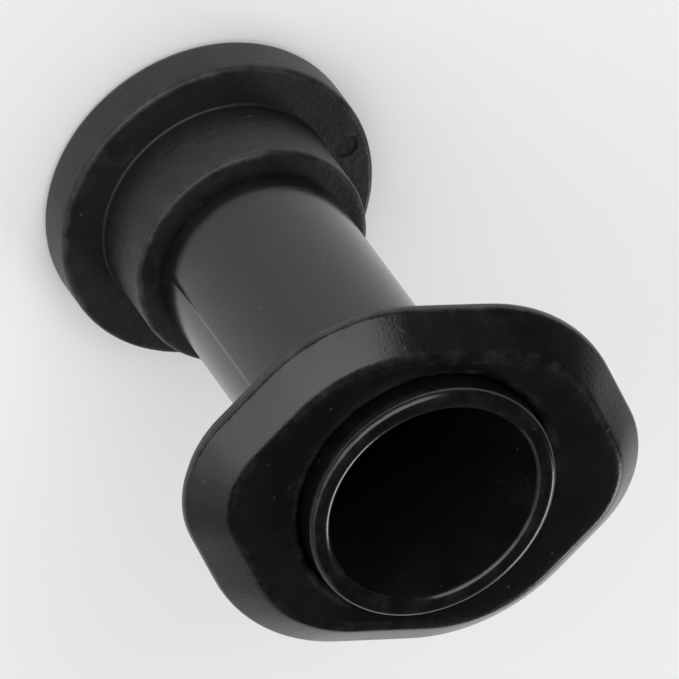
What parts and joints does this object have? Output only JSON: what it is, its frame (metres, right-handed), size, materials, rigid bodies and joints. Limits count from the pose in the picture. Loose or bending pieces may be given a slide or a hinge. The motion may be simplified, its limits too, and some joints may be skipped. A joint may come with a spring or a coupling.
{
  "type": "racket string eyelet",
  "caption": "Tie-off string eyelet for a racket hoop: bevelled lozenge nose, round-lipped bowl over a long barrel, seat gasket and push-on groove collar.",
  "frame": {"origin": "where the bore's axis crosses the hoop's inner face, which is the underside of the seat gasket's brim", "axes": "+Z along the bore, out of the hoop towards the string bed; X along the nose's long axis, tip to tip; Y across the nose from side flat to side flat"},
  "size_m": [0.0086, 0.0068, 0.0108],
  "materials": {
    "nose_elastomer": "satin",
    "bush_nylon": "polished lip, plain moulded barrel",
    "gasket_elastomer": "matte",
    "collar_nylon": "fine spark texture"
  },
  "bodies": {
    "eyelet": {"nose_cap": "nose_elastomer", "string_bush": "bush_nylon", "seat_gasket": "gasket_elastomer"},
    "collar": {"groove_collar": "collar_nylon"}
  },
  "joints": [
    {"name": "collar_release", "type": "slide", "parent": "collar", "child": "eyelet", "axis": [0, 0, 1], "range_m": [0, 0.0019]}
  ]
}
